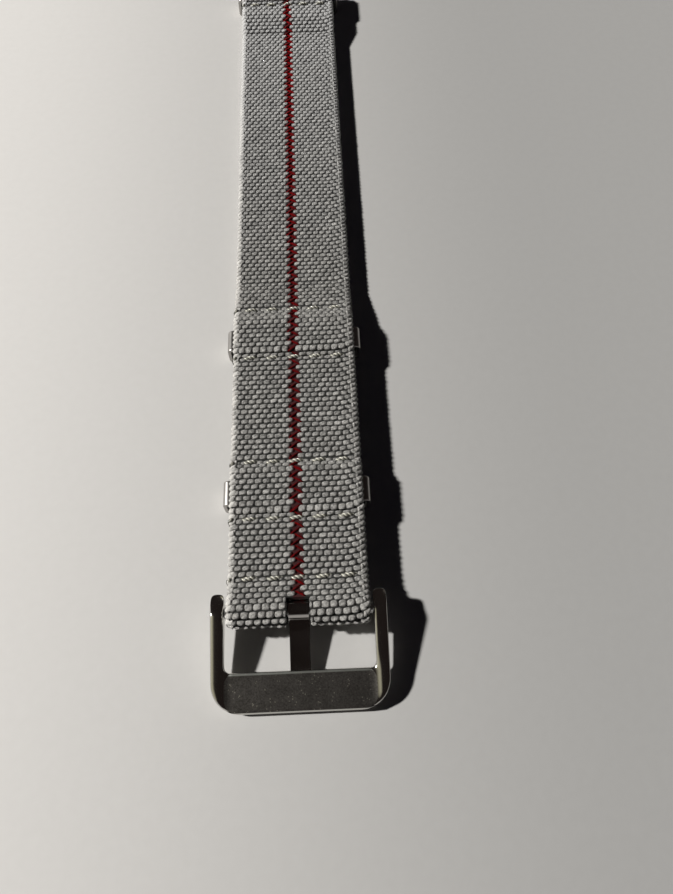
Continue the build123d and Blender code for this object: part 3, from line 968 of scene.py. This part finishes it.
def sew(name, seam, face):
    """The stitches of one seam on the wrist side, face 1, or on the outer side, face -1."""
    drop = seam_5_drop if seam == seams_at[4] else 0
    surface = flap_mid + half_webbing if face > 0 else strap_mid - half_webbing
    copies, tones = [], []
    for i in range(-1, stitch_count):
        across = (i - (stitch_count - 1) / 2) * stitch_length + dice.gauss(0, across_spread)
        corners = stitch_pattern["corners"].copy()
        if i < 0:
            across = first_half_stitch - strap_width / 2
            corners[:, 0] *= first_half_share
        # Painted shade: the deeper parts of a stitch are painted darker.
        light_painted_by_depth = np.clip(corners[:, 2] * shade_by_depth + 1, 0, 1)
        tones.append(light_painted_by_depth * painted_strand_tone)
        corners[:, 2] = surface - drop + face * corners[:, 2]
        corners[:, 0] = across + corners[:, 0]
        corners[:, 1] += axis_y + seam + row_shift(across) + dice.gauss(0, along_spread)
        copies.append(corners)
    piece = laid_out(name, stitch_pattern, np.array(copies) * mm, np.array(tones))
    if face < 0:
        turn_faces_out(piece)
    return dressed(piece, thread.material, "sewing_thread")


for seam_name, seam in zip(seam_names, seams_at):
    for face, kind in ((1, "needle_thread"), (-1, "bobbin_thread")):
        sewn = sew(f"stitches_{seam_name}_{kind}", seam, face)
        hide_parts(f"{seam_name}_{kind}")

# %% [markdown]
# ## Steel
#
# The pieces are one steel with several finishes. The buckle's arms and the tang are
# polished, so they show mostly what stands round them, and the keepers are polished
# more softly. The back of the buckle's bar is finely brushed and has picked up specks
# of dust.

# %% Polished and drawn steel
smear_scale, scuff_scale = 260.0, 2200.0
smear_weight, scuff_weight, smeared_tone = 0.10, 0.06, 0.86


def steel(name, colour, roughness):
    """Steel whose roughness varies a little about its own, with smears and scuffs."""
    made = Finish(name, Metallic=1.0)
    smears = made.noise(made.place(), smear_scale)
    scuffs = made.noise(made.place(), scuff_scale)
    least = roughness - (smear_weight + scuff_weight) / 2
    made.set("Roughness", smears * smear_weight + scuffs * scuff_weight + least)
    smeared = tuple(c * smeared_tone for c in colour)
    tint = made.blend(smears, (*smeared, 1), (*colour, 1))
    made.set("Base Color", tint)
    return made


polished = steel("polished_steel", (0.42, 0.405, 0.385), 0.3)
tang_finish = steel("tang_steel", (0.46, 0.44, 0.42), 0.14)
drawn = steel("drawn_steel", (0.52, 0.52, 0.51), 0.3)
print("steel finishes:", [f.material.name for f in (polished, tang_finish, drawn)])

# %% [markdown]
# The brushing is only on the flat back of the buckle's bar. An image could mask it, but
# numbers are enough: the finish works out how far a point lies above the middle of the
# drooping frame and how far out from the spring bar, and brushes what lies between.

# %% Where the bar of the buckle is brushed
droop = 0.2137
across_frame = Vector((0, -math.sin(droop), math.cos(droop)))
along_frame = Vector((0, -math.cos(droop), -math.sin(droop)))
frame_origin = (0, axis_y * mm, bar_height * mm)
bar_from, bar_middle, bar_half_width, bar_end, end_rounding = 7.6, 10.4, 2.6, 10.3, 1.1
back_low, back_high, inner_highlight_to = 0.6, 0.85, 8.25
line_low, line_high, line_from = 0.5, 0.63, 12.7


def level_above(made, origin, direction):
    """How far a point of the piece lies above a plane, in millimetres."""
    inputs = {0: made.place(), 1: origin}
    offset = made.node("ShaderNodeVectorMath", {"operation": "SUBTRACT"}, inputs)
    return made.dot(offset, direction / mm)


buckle = Finish("buckle_steel", Metallic=1.0)
above = level_above(buckle, frame_origin, across_frame)
outward = level_above(buckle, frame_origin, along_frame)
across = buckle.parts(buckle.place())[0]
from_middle = abs(outward - bar_middle) / bar_half_width
fourth_power = from_middle * from_middle * from_middle * from_middle
end_at = bar_end * mm - fourth_power * (end_rounding * mm)
on_bar = (abs(across) < end_at) * (outward > bar_from)
brushed = (above > back_low) * (above < back_high) * on_bar
# Painted reflection: a dark line is painted along the bar's outer rim.
painted_dark_rim_line = (above > line_low) * (above < line_high) * (outward > line_from)
# Painted highlight: a paler strip is painted along the inner edge of the brushed bar.
painted_inner_highlight = brushed * (outward < inner_highlight_to)
print("the frame droops", round(math.degrees(droop), 1), "degrees")

# %% Grain, dust and wear on the brushed bar
speck_size, cluster_least = 0.24, 0.54
fine_wear, broad_wear, least_wear, most_wear = 0.9, 0.3, 0.35, 0.85
grain = buckle.noise(buckle.place(), 5200.0, 4.0, 0.7)
specks = buckle.node("ShaderNodeTexVoronoi", {}, {"Vector": buckle.place(), "Scale": 2800.0})
clusters = buckle.noise(buckle.place(), 700.0)
speck = (specks < speck_size) * brushed * (clusters > cluster_least)
mottle = buckle.noise(buckle.place(), 4200.0, 2.0, 0.7)
wear = mottle * fine_wear + clusters * broad_wear
wear = buckle.between(wear, least_wear, most_wear)
print("the buckle's recipe has", len(buckle.tree.nodes), "nodes so far")

# %% The buckle's roughness and colour
polish_roughness, brush_roughness, line_roughness = 0.1, 0.2, 0.3
grain_weight, smear_on_polish, inner_highlight_share, dust_share = 0.12, 0.08, 0.6, 0.45
worn_dark, worn_pale = (0.075, 0.07, 0.065, 1), (0.215, 0.202, 0.188, 1)
polish_colour, inner_highlight_colour = (0.58, 0.57, 0.54, 1), (0.62, 0.65, 0.6, 1)
dark_rim_reflection_colour, dust_colour = (0.03, 0.026, 0.024, 1), (0.75, 0.72, 0.6, 1)
smears = buckle.noise(buckle.place(), smear_scale)
brushing = brushed * (brush_roughness + grain * grain_weight)
roughness = brushing + polish_roughness + smears * smear_on_polish
buckle.set("Roughness", roughness + painted_dark_rim_line * line_roughness)
bare = buckle.blend(brushed, polish_colour, buckle.blend(wear, worn_dark, worn_pale))
# Painted reflection: the dark rim line is painted into the colour.
bare = buckle.blend(painted_dark_rim_line, bare, dark_rim_reflection_colour)
# Painted highlight: the pale inner strip is painted into the colour.
bare = buckle.blend(painted_inner_highlight * inner_highlight_share, bare, inner_highlight_colour)
buckle.set("Base Color", buckle.blend(speck * dust_share, bare, dust_colour))
buckle.bump(grain * brushed, 0.12, 0.00003)
print("buckle finish:", buckle.material.name)

# %% [markdown]
# ## The cast frame
#
# The solid frame has the exact sizes but the sharp blends of a drawing. A real one is
# cast and tumbled, which rounds the arms and lugs until their reflections run together.
# A bevel can't follow such blends, so a copy of the solid is rebuilt from small even
# faces. Its points are worn down at the ridge, the lugs and the outer rim, and smoothed
# where the tumbling reached. The flat back of the bar keeps its crisp edges.

# %% A copy of the frame, rebuilt from even faces
voxel = 0.14
tumbled = bpy.data.objects.new("tumbled_buckle_frame", nodes["buckle_frame"].data.copy())
bpy.context.scene.collection.objects.link(tumbled)
edit(tumbled)
bpy.ops.mesh.remove_doubles(threshold=1e-6)
bpy.ops.object.mode_set(mode="OBJECT")
rebuilt = tumbled.modifiers.new("rebuilt", "REMESH")
rebuilt.mode, rebuilt.voxel_size, rebuilt.use_smooth_shade = "VOXEL", voxel * mm, True
bpy.ops.object.modifier_apply(modifier="rebuilt")
print("the rebuilt frame has", len(tumbled.data.vertices), "points")

# %% Wearing it down and smoothing it
arms_from, arms_run, bar_begins, bar_run = 9.3, 0.9, 7.7, 0.6
bar_back, ridge_wear, lug_reach, lug_wear = 0.66, 0.6, 2.6, 0.8
rim_from, rim_run, rim_slope = 12.95, 0.6, 0.75
reached = tumbled.vertex_groups.new(name="reached")
for vertex in tumbled.data.vertices:
    offset = vertex.co - Vector(frame_origin)
    rise, reach = offset.dot(across_frame) / mm, offset.dot(along_frame) / mm
    aside = (abs(vertex.co.x / mm) - arms_from) / arms_run
    before_bar = (bar_begins - reach) / bar_run
    reached.add([vertex.index], min(1, max(0.0, aside, before_bar)), "REPLACE")
    worn_down = max(0, rise - bar_back) * ridge_wear
    worn_down += max(0, rise) * min(1, max(0, -reach / lug_reach)) * lug_wear
    worn_down += max(0, rise) * min(1, max(0, reach - rim_from) / rim_run) * rim_slope
    vertex.co -= across_frame * worn_down * mm
smoothed = tumbled.modifiers.new("smoothed", "SMOOTH")
smoothed.factor, smoothed.iterations, smoothed.vertex_group = 0.5, 40, "reached"
bpy.ops.object.modifier_apply(modifier="smoothed")
dressed(tumbled, buckle.material, "buckle_steel", "buckle")
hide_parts("buckle_frame")

# %% Finishes on the steel pieces
steel_of = {"keeper": polished, "buckle": buckle, "tang": tang_finish, "spring_bar": drawn}
for first_words, finish in steel_of.items():
    of_this_kind = [name for name in nodes if name.startswith(first_words)]
    for name in of_this_kind:
        nodes[name].data.materials.clear()
        nodes[name].data.materials.append(finish.material)
    print(finish.material.name, "on", of_this_kind)

# %% [markdown]
# ## The table, the light and the camera
#
# The strap lies on pale paper, painted paler on the lamp's side and dimmer away from it, as a
# painted fall-off of the lamp's light. One lamp stands low on the left and a little behind, so
# every bead has a bright and a dark side and the strap throws a long shadow. It is a sun lamp,
# because a small lamp nearby would leave a hot spot on the paper in the other views.

# %% Paper
painted_light_to, painted_dim_from = -80, 50
paper = Finish("paper", Roughness=0.9)
tooth = paper.noise(paper.place(), 700.0)
# Painted light: the paper is painted paler towards the lamp and dimmer away from it.
painted_lamp_falloff = paper.node(
    "ShaderNodeMapRange", {"interpolation_type": "SMOOTHSTEP"},
    {0: paper.parts(paper.place())[0], 1: painted_light_to * mm, 2: painted_dim_from * mm},
)
pale = paper.blend(tooth, (0.77, 0.75, 0.72, 1), (0.81, 0.79, 0.76, 1))
dim = paper.blend(tooth, (0.365, 0.36, 0.35, 1), (0.385, 0.38, 0.37, 1))
paper.set("Base Color", paper.blend(painted_lamp_falloff, pale, dim))
paper.bump(tooth, 0.05, 0.0002)
start()
bpy.ops.mesh.primitive_grid_add(x_subdivisions=4, y_subdivisions=4, size=6)
table = bpy.context.object
table.name = "paper_on_the_table"
table.data.materials.append(paper.material)
print("the table is", [round(v, 1) for v in table.dimensions], "metres")

# %% Lamp
towards_lamp = Vector((-1.3, 0.2, 1.0)).normalized()
start()
bpy.ops.object.light_add(type="SUN", rotation=towards_lamp.to_track_quat("Z", "Y").to_euler())
lamp = bpy.context.object
lamp.name = "lamp"
lamp.data.angle = 0.06
lamp.data.energy = 5.0
lamp.data.color = (1.0, 0.985, 0.96)
print("the lamp stands", round(math.degrees(math.asin(towards_lamp.z))), "degrees high")

# %% [markdown]
# Polished steel shows the room more than itself. The room is dim above, pale low down
# towards the lamp and the front, and has one window high on the left. A camera ray that
# misses the paper sees a plain backdrop instead, and matt surfaces get only a faint
# fill, so the shadows stay as dark as they are on a real table by a window.

# %% What the steel mirrors
bpy.context.scene.world = bpy.data.worlds.new("room")
room = Recipe(bpy.context.scene.world)
towards = room.node("ShaderNodeTexCoord", output="Generated")
rightward, backward, height = room.parts(towards)
front = room.between(backward, -1.0, 0.0, 0.45, 0.0)
lamp_side = room.between(rightward, -1.0, 0.0, 0.62, 0.0)
pale_height = 0.12 + front + lamp_side
far_side = room.between(rightward, 0.0, 0.7, 1.0, 0.12)
walls = room.between(height / pale_height, 0.5, 1.0, 1.0, 0.0) * far_side
mirrored = room.blend(walls, (0.017, 0.0127, 0.0115, 1), (0.6, 0.58, 0.56, 1))
window_at = Vector((-0.8, -0.25, 0.75)).normalized()
window = room.between(room.dot(towards, window_at), 0.88, 0.98)
mirrored = room.blend(window, mirrored, (0.5, 0.47, 0.35, 1))
print("the window faces", [round(v, 2) for v in window_at])

# %% What the camera and matt surfaces see
backdrop_share = room.between(height, 0.0, 0.4)
backdrop = room.blend(backdrop_share, (0.6, 0.585, 0.58, 1), (0.2, 0.195, 0.193, 1))
fill = (0.0045, 0.004, 0.0065, 1)
ray = "ShaderNodeLightPath"
seen = room.blend(room.node(ray, output="Is Glossy Ray"), fill, mirrored)
seen = room.blend(room.node(ray, output="Is Camera Ray"), seen, backdrop)
room.feed(room.tree.nodes["Background"].inputs["Color"], seen)
print("the room has", len(room.tree.nodes), "nodes")

# %% [markdown]
# ## The camera
#
# The lens, tilt and height were worked out from the strap's width and its edges, which
# run together towards the far end. The camera looks down steeply from the buckle's side
# and is turned a little, so the strap leans as it does in the photograph.

# %% The camera
focal_pixels, picture_height, sensor = 672, 894, 36
tilt, camera_height = 65.3, 97.5
turn = math.radians(2.4)
start_x, start_along = -5.2, 18.3
camera_x = -start_x * math.cos(turn) - start_along * math.sin(turn)
camera_away = start_x * math.sin(turn) - start_along * math.cos(turn)
start()
bpy.ops.object.camera_add(
    location=(camera_x * mm, (axis_y + camera_away) * mm, camera_height * mm),
    rotation=(math.radians(90 - tilt), 0, -turn),
)
camera = bpy.context.object
camera.data.sensor_width = sensor
camera.data.lens = focal_pixels / picture_height * sensor
camera.data.clip_start = 0.005
scene = bpy.context.scene
scene.camera = camera
scene.view_settings.view_transform = "Standard"
print("camera at", [round(v, 3) for v in camera.location], "metres")

# %% [markdown]
# ## The sizes
#
# The dressed strap may stand a little proud of the solid one, as fabric does, but it may not
# grow.
